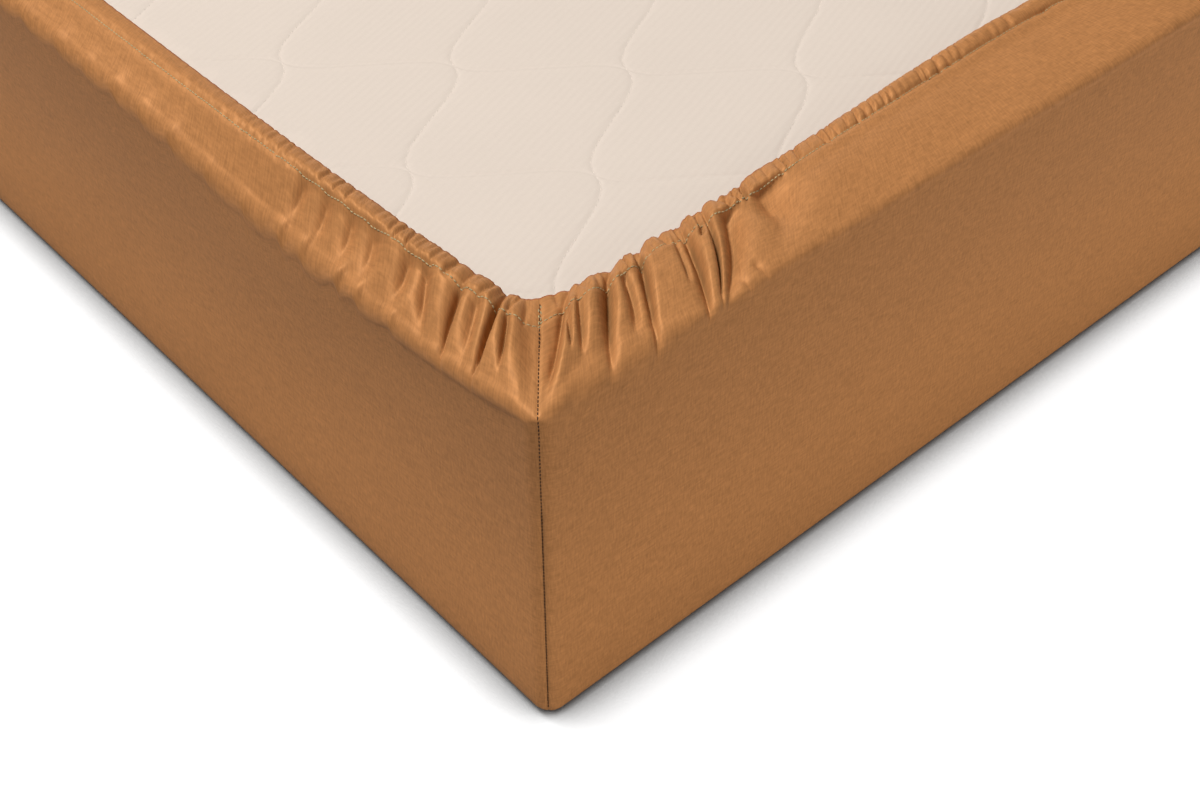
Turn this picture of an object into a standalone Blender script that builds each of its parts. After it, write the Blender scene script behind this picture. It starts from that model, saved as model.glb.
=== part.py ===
"""A fitted sheet on a mattress that lies with its underside up.

The sheet is one piece of cloth. Its main panel lies on the floor, its walls stand round the
mattress with a seam at each corner, and a band turns over the top edges and ends in an
elasticated hem, which gathers the band into folds near the corners.

Metres, +Z up. The origin is at the middle of the face that rests on the floor, and +Y runs
along the mattress."""

import math
from collections import namedtuple

import bmesh
import bpy

# Driving dimensions
WIDTH = 0.900  # outside the sheet, along X
LENGTH = 2.000  # outside the sheet, along Y
HEIGHT = 0.250  # floor to the top of the shoulders
CLOTH = 0.0015  # thickness of the sheet
HEM_CLOTH = 0.0030  # thickness of the turned hem, with the elastic in it
HEM_WIDTH = 0.015  # hem edge to its stitch line
HEM_SLOPE = 0.006  # past the stitch line, where the thicker hem's lift ends
TOUCH_GAP = 0.0003  # between the cloth and what it lies on
EDGE_GAP = 0.0020  # between the cloth and the sides of the mattress

# The sheet's outer shape
CORNER_RADIUS = 0.012  # the four upright edges
FLOOR_RADIUS = 0.012  # the edges round the main panel
SEAM_END_IN_X = 0.057  # where each corner seam meets the hem, from the long wall
SEAM_END_IN_Y = 0.065  # and from the end wall
LONG_BAND = 0.041  # width of the band along the long walls
END_BAND_CORNER = 0.057  # width of the band over the end walls, beside the corners
END_BAND_MIDDLE = 0.080  # and half way along
END_BAND_SLOPE = 1.2  # how fast it widens from the corner, against an even widening
END_BAND_LEVELLING = 6  # the higher, the later it levels off
SEAM_BLEND = 0.020  # distance from a corner over which the band takes on the seam's width
LONG_SHOULDER_RADIUS = 0.025  # the soft shoulder of the long walls
END_SHOULDER_RADIUS = 0.012  # the crisp shoulder of the end walls and of the corners
SHOULDER_SWELL = 0.120  # distance from a corner over which the long shoulder grows soft
SHOULDER_FALL_START = 0.200  # and where it starts to firm up again
SHOULDER_FALL = 0.300  # over this distance
SHOULDER_FAR_SHARE = 0.55  # to this share of its softness

# How far the ridges of the band stand off where the cloth would touch
HEM_LOFT = 0.0042  # at the hem, beside a corner
BAND_LOFT = 0.0080  # in the middle of the band, beside a corner
FAR_LOFT = 0.0020  # at the hem, far from the corners
LOFT_SPREAD = 0.170  # distance from the corner over which the ridges die down
SHOULDER_LOFT = 0.0035  # all along the shoulder

# Folds of the band, one row for each trough, from the corner outwards. hem and foot are the
# distances from the corner to the trough's ends at the hem and at the shoulder, width is its
# half width, depth its share of the ridges' height, and reach is where it has faded: 0 hem,
# 1 shoulder. A trough keeps its full depth over FOLD_FULL of its reach.
FOLD_FULL = 0.35
Fold = namedtuple("Fold", "hem foot width depth reach")
LONG_WALL_FOLDS = (
    Fold(0.075, 0.027, 0.004, 0.60, 0.90),
    Fold(0.083, 0.046, 0.004, 1.00, 1.20),
    Fold(0.103, 0.070, 0.006, 0.95, 1.15),
    Fold(0.130, 0.089, 0.007, 0.70, 1.00),
    Fold(0.146, 0.113, 0.007, 0.60, 0.80),
    Fold(0.175, 0.138, 0.008, 0.70, 0.95),
    Fold(0.202, 0.162, 0.009, 0.60, 1.00),
    Fold(0.218, 0.184, 0.007, 0.50, 0.75),
    Fold(0.240, 0.207, 0.009, 0.45, 0.55),
)
END_WALL_FOLDS = (
    Fold(0.075, 0.004, 0.005, 1.00, 0.95),
    Fold(0.083, 0.030, 0.004, 0.50, 0.95),
    Fold(0.104, 0.045, 0.005, 1.00, 1.05),
    Fold(0.112, 0.066, 0.004, 0.55, 1.10),
    Fold(0.126, 0.080, 0.005, 0.95, 1.20),
    Fold(0.152, 0.110, 0.006, 0.95, 1.35),
    Fold(0.174, 0.123, 0.004, 0.90, 1.20),
    Fold(0.193, 0.130, 0.007, 1.00, 1.25),
    Fold(0.216, 0.165, 0.007, 0.60, 0.55),
    Fold(0.244, 0.178, 0.009, 0.55, 1.10),
)

# The four corners, counterclockwise from above. The elastic pulls each a little differently:
# stretch spreads its folds and depth scales them.
Corner = namedtuple("Corner", "x_side y_side stretch depth")
CORNERS = (
    Corner(-1, -1, 1.00, 1.00),
    Corner(1, -1, 1.07, 0.90),
    Corner(1, 1, 0.94, 1.00),
    Corner(-1, 1, 1.12, 0.85),
)

# Mattress
SEAT = HEIGHT - SHOULDER_LOFT  # lowest level of the band's outer face
MATTRESS_TOP = SEAT - CLOTH - TOUCH_GAP
MATTRESS_SOFT_EDGE = 0.030  # edge radius along the long walls, at the top
MATTRESS_FIRM_EDGE = 0.015  # all the other edges
MATTRESS_EDGE_SEGMENTS = 4

# Mesh density
BAND_ROWS = 6  # steps from the stitch line to the top of the wall
ARC_DENSITY = 2.5  # steps on the shoulder for each on the flat
FIRST_FAR_STEP = 0.012
FAR_STEP_GROWTH = 1.3
LAST_FAR_STEP = 0.090
END_ROOM = 1.5  # steps that must be left before the wall's middle for another one
WALL_TOP = 0.200  # below this height the walls are plain
WALL_SPACING = 0.150
CORNER_STEPS = 4
FLOOR_STEPS = 2
SAME_POINT = 0.00001
SAME_LEVEL = 0.001

SHEET_COLOUR = (0.376, 0.184, 0.078, 1.0)
MATTRESS_COLOUR = (0.792, 0.694, 0.604, 1.0)


def blend(start, end, share):
    return start + (end - start) * share


def ease(share):
    """0 to 1 with level ends."""
    share = min(max(share, 0.0), 1.0)
    return share * share * (3.0 - 2.0 * share)


class HalfWall:
    """Half of one wall, from a corner to the wall's middle.

    Its columns are named by their foot: the distance from the corner along the shoulder. A
    point is given by how far it lies along the wall and how far in from it."""

    def __init__(self, corner, is_long):
        self.corner = corner
        self.is_long = is_long
        self.folds = LONG_WALL_FOLDS if is_long else END_WALL_FOLDS
        self.half = (LENGTH if is_long else WIDTH) / 2
        self.seam_along = SEAM_END_IN_Y if is_long else SEAM_END_IN_X
        self.seam_inset = SEAM_END_IN_X if is_long else SEAM_END_IN_Y
        self.knots = [(0.0, self.seam_along)]
        for fold in self.folds:
            hem = blend(self.seam_along, fold.hem, corner.stretch)
            self.knots.append((fold.foot * corner.stretch, hem))

    def feet(self):
        """A column in each trough, two on the ridge before it, then wider steps."""
        feet = [0.0]
        for foot, _ in self.knots[1:]:
            last = feet[-1]
            feet += [blend(last, foot, 1 / 3), blend(last, foot, 2 / 3), foot]
        step = FIRST_FAR_STEP
        while feet[-1] + END_ROOM * step < self.half:
            feet.append(feet[-1] + step)
            step = min(step * FAR_STEP_GROWTH, LAST_FAR_STEP)
        return feet + [self.half]

    def slant(self, foot):
        """How much further along the wall a column is at the hem than at its foot."""
        for (foot_a, hem_a), (foot_b, hem_b) in zip(self.knots, self.knots[1:]):
            if foot <= foot_b:
                return blend(hem_a, hem_b, (foot - foot_a) / (foot_b - foot_a)) - foot
        return (hem_b - foot_b) * (self.half - foot) / (self.half - foot_b)

    def band_width(self, foot):
        if self.is_long:
            far = LONG_BAND
        else:
            share = foot / self.half
            growth = END_BAND_SLOPE * share - (END_BAND_SLOPE - 1) * share**END_BAND_LEVELLING
            far = blend(END_BAND_CORNER, END_BAND_MIDDLE, growth)
        return far + (self.seam_inset - far) * math.exp(-foot / SEAM_BLEND)

    def shoulder_radius(self, foot):
        if not self.is_long:
            return END_SHOULDER_RADIUS
        firming = ease((foot - SHOULDER_FALL_START) / SHOULDER_FALL)
        softness = ease(foot / SHOULDER_SWELL) * blend(1.0, SHOULDER_FAR_SHARE, firming)
        return blend(END_SHOULDER_RADIUS, LONG_SHOULDER_RADIUS, softness)

    def trough(self, foot, share):
        """How far the folds press the cloth down, from 0 on a ridge to 1."""
        total = 0.0
        for fold in self.folds:
            across = (foot - fold.foot * self.corner.stretch) / fold.width
            fade = 1 - ease((share / fold.reach - FOLD_FULL) / (1 - FOLD_FULL))
            total += fold.depth * self.corner.depth * math.exp(-across * across) * fade
        return min(total, 1.0)

    def lift(self, foot, run, shoulder_run):
        """How far the cloth stands off where it would touch, run metres from the hem edge."""
        near = math.exp(-((foot / LOFT_SPREAD) ** 2))
        share = run / shoulder_run
        hem_loft = blend(FAR_LOFT, HEM_LOFT, near)
        swell = (BAND_LOFT - HEM_LOFT) * near * math.sin(math.pi * min(share, 1.0))
        loft = blend(hem_loft, SHOULDER_LOFT, ease(share)) + swell
        hem_lift = (HEM_CLOTH - CLOTH) * (1 - ease((run - HEM_WIDTH) / HEM_SLOPE))
        return hem_lift + loft * (1 - self.trough(foot, share))

    def place(self, foot, inset, height):
        """World position of a point of a column, with the upright edge rounded."""
        along = foot + self.slant(foot) * inset / self.band_width(foot)
        in_y, in_x = (along, inset) if self.is_long else (inset, along)
        in_x, in_y = rounded_corner(in_x, in_y)
        x = self.corner.x_side * (WIDTH / 2 - in_x)
        y = self.corner.y_side * (LENGTH / 2 - in_y)
        return x, y, height

    def column(self, foot):
        """The column's points, from the hem over the shoulder to the top of the wall."""
        width = self.band_width(foot)
        radius = min(self.shoulder_radius(foot), width - HEM_WIDTH)
        flat = width - radius
        arc = math.pi / 2 * radius
        past_hem = flat - HEM_WIDTH
        points = []
        for row in range(BAND_ROWS + 2):
            if row == 0:
                run = 0.0
            else:
                run = HEM_WIDTH + even_share(past_hem, arc, (row - 1) / BAND_ROWS)
            turn = max(run - flat, 0.0) / radius
            settle = (1 - turn / (math.pi / 2)) ** 2
            lift = self.lift(foot, run, flat) * settle
            inset = radius * (1 - math.sin(turn)) + max(flat - run, 0.0) - lift * math.sin(turn)
            drop = radius * (1 - math.cos(turn)) - lift * math.cos(turn)
            points.append(self.place(foot, inset, SEAT - drop))
        return points


def even_share(flat, arc, share):
    """Distance along a flat and an arc, with the steps on the arc closer together."""
    weight = share * (flat + ARC_DENSITY * arc)
    if weight < flat:
        return weight
    return flat + (weight - flat) / ARC_DENSITY


def rounded_corner(in_x, in_y):
    """Pulls a point beside a corner back onto the upright edge's round."""
    to_x = CORNER_RADIUS - in_x
    to_y = CORNER_RADIUS - in_y
    reach = math.hypot(to_x, to_y)
    if to_x <= 0 or to_y <= 0 or reach <= CORNER_RADIUS:
        return in_x, in_y
    pull = CORNER_RADIUS / reach
    return CORNER_RADIUS - to_x * pull, CORNER_RADIUS - to_y * pull


def band_columns():
    """All columns of the band and shoulders, counterclockwise from the middle of a wall."""
    columns = []
    for number, corner in enumerate(CORNERS):
        long_first = number % 2 == 0
        before = HalfWall(corner, long_first)
        after = HalfWall(corner, not long_first)
        columns += [before.column(foot) for foot in reversed(before.feet())]
        columns += [after.column(foot) for foot in after.feet()[1:-1]]
    return columns


def plain_ring(inset, height):
    """Points round the walls at one height, sparse on the flats and on arcs at the corners."""
    radius = CORNER_RADIUS - inset
    ring = []
    for number, corner in enumerate(CORNERS):
        centre_x = corner.x_side * (WIDTH / 2 - CORNER_RADIUS)
        centre_y = corner.y_side * (LENGTH / 2 - CORNER_RADIUS)
        first_turn = math.pi + number * math.pi / 2
        for step in range(CORNER_STEPS + 1):
            turn = first_turn + math.pi / 2 * step / CORNER_STEPS
            x = centre_x + radius * math.cos(turn)
            y = centre_y + radius * math.sin(turn)
            ring.append((x, y, height))
        far = CORNERS[(number + 1) % len(CORNERS)]
        run_x = far.x_side * (WIDTH / 2 - CORNER_RADIUS) - centre_x
        run_y = far.y_side * (LENGTH / 2 - CORNER_RADIUS) - centre_y
        steps = round(math.hypot(run_x, run_y) / WALL_SPACING)
        start_x, start_y, _ = ring[-1]
        for step in range(1, steps):
            ring.append((start_x + run_x * step / steps, start_y + run_y * step / steps, height))
    return ring


def wrapped_grid(bm, columns):
    """A grid bent into a ring of columns, whose last one closes on the first."""
    rows = len(columns[0])
    wrap = len(columns)
    made = bmesh.ops.create_grid(bm, x_segments=wrap, y_segments=rows - 1, size=1.0)
    for vert in made["verts"]:
        column = round((vert.co.x + 1) / 2 * wrap) % wrap
        row = round((vert.co.y + 1) / 2 * (rows - 1))
        vert.co = columns[column][row]
    bmesh.ops.remove_doubles(bm, verts=made["verts"], dist=SAME_POINT)


def ring_edges(bm, height_test):
    """Open edges whose ends both pass the test of height."""
    return [
        edge
        for edge in bm.edges
        if edge.is_boundary and all(height_test(vert.co.z) for vert in edge.verts)
    ]


def shaded_material(name, colour, roughness):
    material = bpy.data.materials.new(name)
    material.use_nodes = True
    shader = material.node_tree.nodes["Principled BSDF"]
    shader.inputs["Base Color"].default_value = colour
    shader.inputs["Roughness"].default_value = roughness
    shader.inputs["Metallic"].default_value = 0.0
    material.diffuse_color = colour
    return material


def fitted_sheet(collection):
    """The outer face of the cloth as an open surface, thickened inwards."""
    bm = bmesh.new()
    wrapped_grid(bm, band_columns())
    band_end = ring_edges(bm, lambda z: z < HEIGHT - END_SHOULDER_RADIUS / 2)

    rings = [plain_ring(0.0, WALL_TOP)]
    for step in range(FLOOR_STEPS + 1):
        turn = math.pi / 2 * step / FLOOR_STEPS
        inset = FLOOR_RADIUS * (1 - math.cos(turn))
        rings.append(plain_ring(inset, FLOOR_RADIUS * (1 - math.sin(turn))))
    wrapped_grid(bm, list(zip(*rings)))
    wall_start = ring_edges(bm, lambda z: abs(z - WALL_TOP) < SAME_LEVEL)
    floor_edge = ring_edges(bm, lambda z: z < SAME_LEVEL)
    bmesh.ops.contextual_create(bm, geom=floor_edge)
    bmesh.ops.bridge_loops(bm, edges=band_end + wall_start)
    bmesh.ops.recalc_face_normals(bm, faces=bm.faces)
    hem = [vert.index for vert in hem_verts(bm)]

    mesh = bpy.data.meshes.new("fitted_sheet")
    bm.to_mesh(mesh)
    bm.free()
    mesh.shade_smooth()
    mesh.materials.append(shaded_material("golden_cotton", SHEET_COLOUR, 0.55))
    sheet = bpy.data.objects.new("fitted_sheet", mesh)
    collection.objects.link(sheet)
    sheet.vertex_groups.new(name="hem").add(hem, 1.0, "REPLACE")
    solid = sheet.modifiers.new("Cloth", "SOLIDIFY")
    solid.thickness = HEM_CLOTH
    solid.offset = -1.0
    solid.vertex_group = "hem"
    solid.thickness_vertex_group = CLOTH / HEM_CLOTH


def hem_verts(bm):
    """The open edge of the cloth and the next row in, its stitch line."""
    edge = {vert for vert in bm.verts if vert.is_boundary}
    beside = {line.other_vert(vert) for vert in edge for line in vert.link_edges}
    bm.verts.index_update()
    return edge | beside


def mattress(collection):
    """A plain block with soft edges under the band and firmer ones elsewhere."""
    side_gap = CLOTH + EDGE_GAP
    low = CLOTH + TOUCH_GAP
    size = (WIDTH - 2 * side_gap, LENGTH - 2 * side_gap, MATTRESS_TOP - low)
    bpy.ops.mesh.primitive_cube_add(size=1.0, location=(0, 0, (MATTRESS_TOP + low) / 2))
    block = bpy.context.object
    block.name = "mattress"
    block.data.name = "mattress"
    block.scale = size
    bpy.ops.object.transform_apply(location=False, rotation=False, scale=True)
    for owner in list(block.users_collection):
        owner.objects.unlink(block)
    collection.objects.link(block)

    weights = block.data.attributes.new("bevel_weight_edge", "FLOAT", "EDGE")
    for edge in block.data.edges:
        ends = [block.data.vertices[number].co for number in edge.vertices]
        along_y = abs(ends[0].y - ends[1].y) > LENGTH / 2
        at_top = min(end.z for end in ends) > 0
        soft = along_y and at_top
        weights.data[edge.index].value = 1.0 if soft else MATTRESS_FIRM_EDGE / MATTRESS_SOFT_EDGE
    round_edges = block.modifiers.new("Soft edges", "BEVEL")
    round_edges.limit_method = "WEIGHT"
    round_edges.width = MATTRESS_SOFT_EDGE
    round_edges.segments = MATTRESS_EDGE_SEGMENTS
    block.data.shade_smooth()
    block.data.materials.append(shaded_material("cream_ticking", MATTRESS_COLOUR, 0.8))


for old in list(bpy.data.objects):
    bpy.data.objects.remove(old)
bed = bpy.data.collections.new("fitted_sheet_on_mattress")
bpy.context.scene.collection.children.link(bed)
fitted_sheet(bed)
mattress(bed)
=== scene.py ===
"""A fitted sheet of cotton sateen on a mattress that lies with its underside up.

Metres, +Z up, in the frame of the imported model. The camera looks at the near corner, where the
long wall on -X meets the end wall on -Y. Along a wall, places are given from that wall's corner,
and inwards from the wall's own face."""

import math
from collections import namedtuple

import bmesh
import bpy
import numpy as np
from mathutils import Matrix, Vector


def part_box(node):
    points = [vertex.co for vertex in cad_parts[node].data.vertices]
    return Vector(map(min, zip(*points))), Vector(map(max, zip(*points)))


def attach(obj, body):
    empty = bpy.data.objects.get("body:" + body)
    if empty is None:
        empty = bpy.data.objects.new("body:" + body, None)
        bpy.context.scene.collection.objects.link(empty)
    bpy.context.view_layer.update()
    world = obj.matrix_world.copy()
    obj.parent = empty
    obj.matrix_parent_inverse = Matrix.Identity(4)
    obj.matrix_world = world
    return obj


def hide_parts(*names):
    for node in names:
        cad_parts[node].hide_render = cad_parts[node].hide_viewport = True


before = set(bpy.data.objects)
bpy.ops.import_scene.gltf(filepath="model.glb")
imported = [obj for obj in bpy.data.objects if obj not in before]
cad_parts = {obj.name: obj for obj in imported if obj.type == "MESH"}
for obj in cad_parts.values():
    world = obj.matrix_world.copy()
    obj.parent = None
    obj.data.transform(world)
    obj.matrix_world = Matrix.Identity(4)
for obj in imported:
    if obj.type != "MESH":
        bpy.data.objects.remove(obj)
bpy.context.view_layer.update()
sheet_low, sheet_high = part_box("fitted_sheet")
mattress_low, mattress_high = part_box("mattress")

MM = 0.001
QUARTER = math.pi / 2

# The sheet's shape. Names in _OVER are a start and a reach: what they govern changes from the
# start on, over the reach. Values in braces are for a long wall, True, and for an end wall, False.
WIDTH = sheet_high.x - sheet_low.x
LENGTH = sheet_high.y - sheet_low.y
PERIMETER = 2 * (WIDTH + LENGTH)
HEIGHT = 0.250  # floor to the top of the shoulders
CLOTH = 0.0015  # thickness of the sheet
CLEARANCE = 0.0003  # under it, to the mattress
HEM_CLOTH = 0.0030  # thickness of the turned hem, with the elastic in it
HEM_WIDTH = 0.015  # hem edge to the end of its channel
HEM_SLOPE = 0.010  # past the channel, where the thicker hem's lift ends
CORNER_RADIUS = 0.012  # the four upright edges
FLOOR_RADIUS = 0.012  # the edges round the main panel
SEAM_END_IN_X = 0.057  # where each corner seam meets the hem, from the long wall
SEAM_END_IN_Y = 0.065  # and from the end wall
LONG_BAND_NEAR = 0.0455  # width of the band along the long walls, beside the corners
LONG_BAND = 0.0380  # and further on
LONG_BAND_OVER = (0.050, 0.100)
END_BAND = (0.057, 0.080)  # width over the end walls, beside the corners and half way along
END_BAND_SLOPE = 1.2  # how fast it widens from the corner, against an even widening
END_BAND_LEVELLING = 6  # the higher, the later it levels off
SEAM_BAND_REACH = 0.020  # distance in which the seam's end draws the band wider
SHOULDER = {True: (0.005, 0.008), False: (0.016, 0.0065)}  # its radius near a corner and far off
SHOULDER_OVER = {True: (0.090, 0.110), False: (0.055, 0.060)}
CORNER_SHOULDER = 0.006  # its radius at the corner seams,
CORNER_SHOULDER_REACH = 0.025  # and how far that shows
LONG_SAG = 0.0270  # how far the band slopes down to the shoulder of the long walls,
SAG_NEAR = 0.080  # growing over this distance from the corner,
SAG_FALL_SHARE = 0.43  # and falling by this share
SAG_FALL_OVER = (0.210, 0.210)
SAG_START = 0.25  # the slope begins at this share of the band's width, past the hem,
SAG_BEND = 1.12  # and steepens towards the shoulder: 1 is an even slope
CORNER_SAG = 0.0050  # how much lower the shoulder lies at the corner seams,
CORNER_SAG_REACH = 0.050  # dying away over this distance
HEM_LOFT = 0.0048  # ridges at the hem, beside a corner
FAR_LOFT = 0.0020  # and far from the corners
BAND_LOFT = {True: 0.0116, False: 0.0134}  # ridges in the middle of the band, beside a corner
LOFT_SPREAD = 0.310  # distance from the corner over which the ridges die down
SHOULDER_LOFT = 0.0035  # all along the shoulder
SHOULDER_RIDGES = 0.0050  # and beside the corners
SEAM_LOFT = 0.8 * SHOULDER_LOFT  # along the seams, from where the band rises to its ridges
SEAM_LOFT_OVER = {True: (0.003, 0.022), False: (0.003, 0.015)}
FOLDS_OVER = (0.002, 0.006)  # from the seam
BAND_WOBBLE = 0.0003  # how uneven the cloth is between its folds
DEEPEST = 0.0012  # how far it may press in at the shoulder
SEAT = HEIGHT - SHOULDER_LOFT  # lowest level of the band's outer face
WALL_SWAY = 0.0007  # how far the walls stand out and in,
SWAY_TOP = 0.020  # from this far below the shoulder
SWAY_CORNER_OVER = (0.020, 0.120)
SWAY_FLOOR_OVER = (FLOOR_RADIUS, 0.060)

# The hem's channel. It is fuller in the middle of the end walls.
FULLER_OVER = (0.180, 0.120)
HEM_PUFF = (0.0006, 0.0033)  # how far it bulges, and where it is fuller
PUFF_SKEW = 0.7  # below 1 the bulge leans towards the edge
STITCH_GROOVE = (0.0004, 0.0015)  # how far the stitches pull the cloth in, and where it is fuller
STITCH_GROOVE_WIDTH = 0.0013
STITCH_RUN = 0.0138  # hem edge to the stitch line
RIM_RADIUS = 0.0012  # the folded edge
RETURN_WIDTH = 0.014  # the cloth turned under, as the weave counts it
PUCKER_NOTCH = {True: 0.28, False: 0.12}  # how far puckers draw back the edge, against their depth,
PUCKER_NOTCH_REACH = 0.004
PUCKER_DIP = 0.45  # how deep they are at the edge itself, against further in
EDGE_REACH = 0.003
EDGE_DRAW = {True: 0.0005, False: 0.0024}  # how far the edge draws back at a deep crease,
EDGE_DRAW_REACH = 0.012
SEAM_GROOVE = 0.0007
SEAM_GROOVE_WIDTH = 0.0018
SEAM_SPREAD = 0.006  # how far the seam holds its two sides together over the shoulder

# Ends of the columns that carry the gathers, from the corner: at the hem and at the shoulder
GATHERS = {
    True: (
        (0.075, 0.027), (0.083, 0.046), (0.103, 0.070), (0.130, 0.089), (0.146, 0.113),
        (0.175, 0.138), (0.202, 0.162), (0.218, 0.184), (0.240, 0.207),
    ),
    False: (
        (0.075, 0.004), (0.083, 0.030), (0.104, 0.045), (0.112, 0.066), (0.126, 0.080),
        (0.152, 0.110), (0.174, 0.123), (0.193, 0.130), (0.216, 0.165), (0.244, 0.178),
    ),
}

# Creases of the band. start, bend and tip are millimetres along the wall and inwards from it;
# depth is a share of the ridges' height; near and far are the half widths in millimetres on the
# side towards the corner and away from it; hem is the share of the depth at the hem's edge; crisp
# is 1 for a sharp fold and 0 for a soft hollow.
Crease = namedtuple("Crease", "start bend tip depth near far hem crisp")
CREASE_DEPTH_OVER = (0.0120, 0.0050)  # from the hem's edge, where hem's share grows to 1
CREASE_HEAD = 0.12  # share of its length over which a crease sets in, ahead of its start
# For a soft and for a crisp crease: the share of its length where it starts to fade, how much it
# widens towards its tip, and how round its bottom is, against its width
CREASE_FADE = {True: (0.25, 0.66), False: (0.50, 0.80)}
CREASE_TAPER = (0.60, -0.62)
CREASE_ROUNDING = (0.50, 0.12)
CREASE_END = 1.02  # the share where it has died away
CREASE_FLANK = 1.35  # the higher, the steeper its sides end
CREASE_DRAW = 0.45  # how far it draws in the cloth beside it, against the distance
CREASE_STRAY_MM = 2.5  # how far creases stray at the other corners, along the wall,
DEPTH_STRAY = 0.25  # in depth
WIDTH_STRAY = 0.2  # and in width
LONG_CREASES = (
    Crease((69, 56), (62, 47), (56, 40), 0.35, 1.5, 2.0, 0.6, 1.0),
    Crease((73, 54), (62, 45), (51, 33), 0.50, 2.0, 2.0, 0.6, 1.0),
    Crease((79, 50), (61, 32), (38, 6), 0.65, 2.5, 3.5, 0.4, 1.0),
    Crease((81, 49), (70, 32), (49, -5), 1.00, 1.8, 3.4, 0.8, 1.0),
    Crease((87, 37), (78, 24), (59, -2), 0.65, 3.0, 5.0, 0.0, 0.6),
    Crease((103, 47), (97, 32), (72, -6), 1.00, 2.8, 5.6, 0.3, 1.0),
    Crease((113, 46), (112, 40), (107, 27), 0.65, 2.4, 3.6, 0.2, 0.6),
    Crease((131, 38), (121, 27), (93, -2), 0.95, 3.0, 5.6, 0.0, 0.6),
    Crease((143, 37), (138, 30), (126, 0), 0.95, 5.0, 4.2, 0.0, 0.4),
    Crease((174, 36), (159, 15), (152, -2), 1.00, 7.5, 4.2, 0.0, 0.3),
    Crease((193, 35), (180, 17), (174, -2), 1.00, 7.5, 4.4, 0.0, 0.3),
    Crease((214, 34), (204, 18), (201, -2), 1.00, 7.5, 4.0, 0.0, 0.3),
    Crease((234, 34), (227, 19), (224, 0), 0.95, 7.0, 3.6, 0.0, 0.3),
)
END_CREASES = (
    Crease((64, 64), (62, 60), (60, 56), 0.45, 1.5, 1.5, 1.0, 1.0),
    Crease((75, 65), (50, 41), (16, 12), 1.00, 5.6, 2.4, 0.8, 0.8),
    Crease((71, 59), (49, 33), (41, 22), 0.34, 1.4, 2.4, 0.6, 1.0),
    Crease((81, 63), (62, 40), (42, 14), 0.45, 2.0, 3.5, 0.6, 0.8),
    Crease((102, 63), (81, 40), (47, -3), 1.00, 4.0, 3.4, 0.8, 0.8),
    Crease((103, 62), (97, 44), (73, 9), 0.70, 3.2, 4.5, 0.3, 0.7),
    Crease((124, 65), (106, 39), (75, -8), 0.95, 4.0, 2.4, 0.9, 1.0),
    Crease((137, 63), (135, 56), (131, 46), 0.55, 2.0, 3.0, 0.9, 0.8),
    Crease((146, 67), (136, 46), (118, 16), 0.45, 1.6, 1.8, 0.7, 0.8),
    Crease((147, 12), (147, 7), (147, 0), 0.50, 1.6, 2.2, 0.0, 0.8),
    Crease((159, 11), (159, 7), (161, 1), 0.40, 1.6, 2.2, 0.0, 0.8),
    Crease((153, 64), (135, 29), (108, -11), 1.00, 5.4, 2.6, 0.9, 0.9),
    Crease((164, 65), (156, 48), (148, 40), 0.55, 2.0, 2.5, 0.9, 0.8),
    Crease((172, 69), (158, 42), (122, -2), 0.70, 2.0, 1.6, 1.0, 1.0),
    Crease((182, 60), (160, 29), (121, -6), 1.00, 4.6, 11.0, 0.1, 0.9),
    Crease((182, 71), (183, 62), (184, 50), 0.55, 2.0, 2.5, 1.0, 0.6),
    Crease((192, 70), (191, 64), (190, 54), 0.50, 2.0, 2.5, 1.0, 0.6),
    Crease((201, 70), (198, 62), (193, 50), 0.50, 2.0, 3.0, 1.0, 0.6),
    Crease((207, 64), (201, 45), (194, 26), 1.00, 4.5, 8.5, 0.1, 0.3),
    Crease((218, 66), (195, 24), (177, 3), 0.70, 7.0, 9.0, 0.0, 0.2),
)
# Where the long walls' shoulder steps up, and by how much, in millimetres. Towards the corner the
# step is steep, over SHOULDER_STEP; away from it the shoulder falls back over STEP_RETURN.
SHOULDER_STEPS = (
    (122, 4.5), (153, 6), (171, 8), (205, 6), (226, 7), (262, 4), (300, 4), (338, 6), (371, 4),
    (402, 6), (436, 4), (470, 6), (512, 7), (548, 5),
)
SHOULDER_STEP = 0.005
STEP_RETURN = 0.017
STEP_BEND = 3  # the higher, the closer to the shoulder the band follows the steps

# Puckers are short creases across the hem's channel, in groups: the gap between groups, how many in
# a group and their step, and each one's depth, half width and reach, all varied at random. They die
# down away from the corners over spread, to PUCKER_LEFT.
Puckers = namedtuple("Puckers", "gap count step depth width reach spread")
HEM_PUCKERS = {
    True: (
        Puckers(0.0100, 1, 0.0, 0.0032, 0.0014, 0.0155, 0.260),
        Puckers(0.0050, 1, 0.0, 0.0011, 0.0010, 0.0150, 0.260),
    ),
    False: (
        Puckers(0.0340, 3, 0.0070, 0.0036, 0.0014, 0.0160, 0.900),
        Puckers(0.0080, 1, 0.0, 0.0013, 0.0013, 0.0135, 0.700),
    ),
}
PUCKER_LEFT = 0.2
PUCKER_SLANTS = (-0.65, -0.30)  # along the wall against inwards
PUCKER_FADE = 0.25  # share of its reach over which a pucker ends

# The four corners, counterclockwise from above. The elastic pulls each a little differently:
# stretch spreads its folds, depth scales them, and unlike is how far they stray from the first's.
Corner = namedtuple("Corner", "x_side y_side stretch depth unlike")
CORNERS = (
    Corner(-1, -1, 1.00, 1.00, 0.0),
    Corner(1, -1, 1.07, 0.90, 1.0),
    Corner(1, 1, 0.94, 1.00, 1.0),
    Corner(-1, 1, 1.12, 0.85, 1.0),
)

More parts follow.
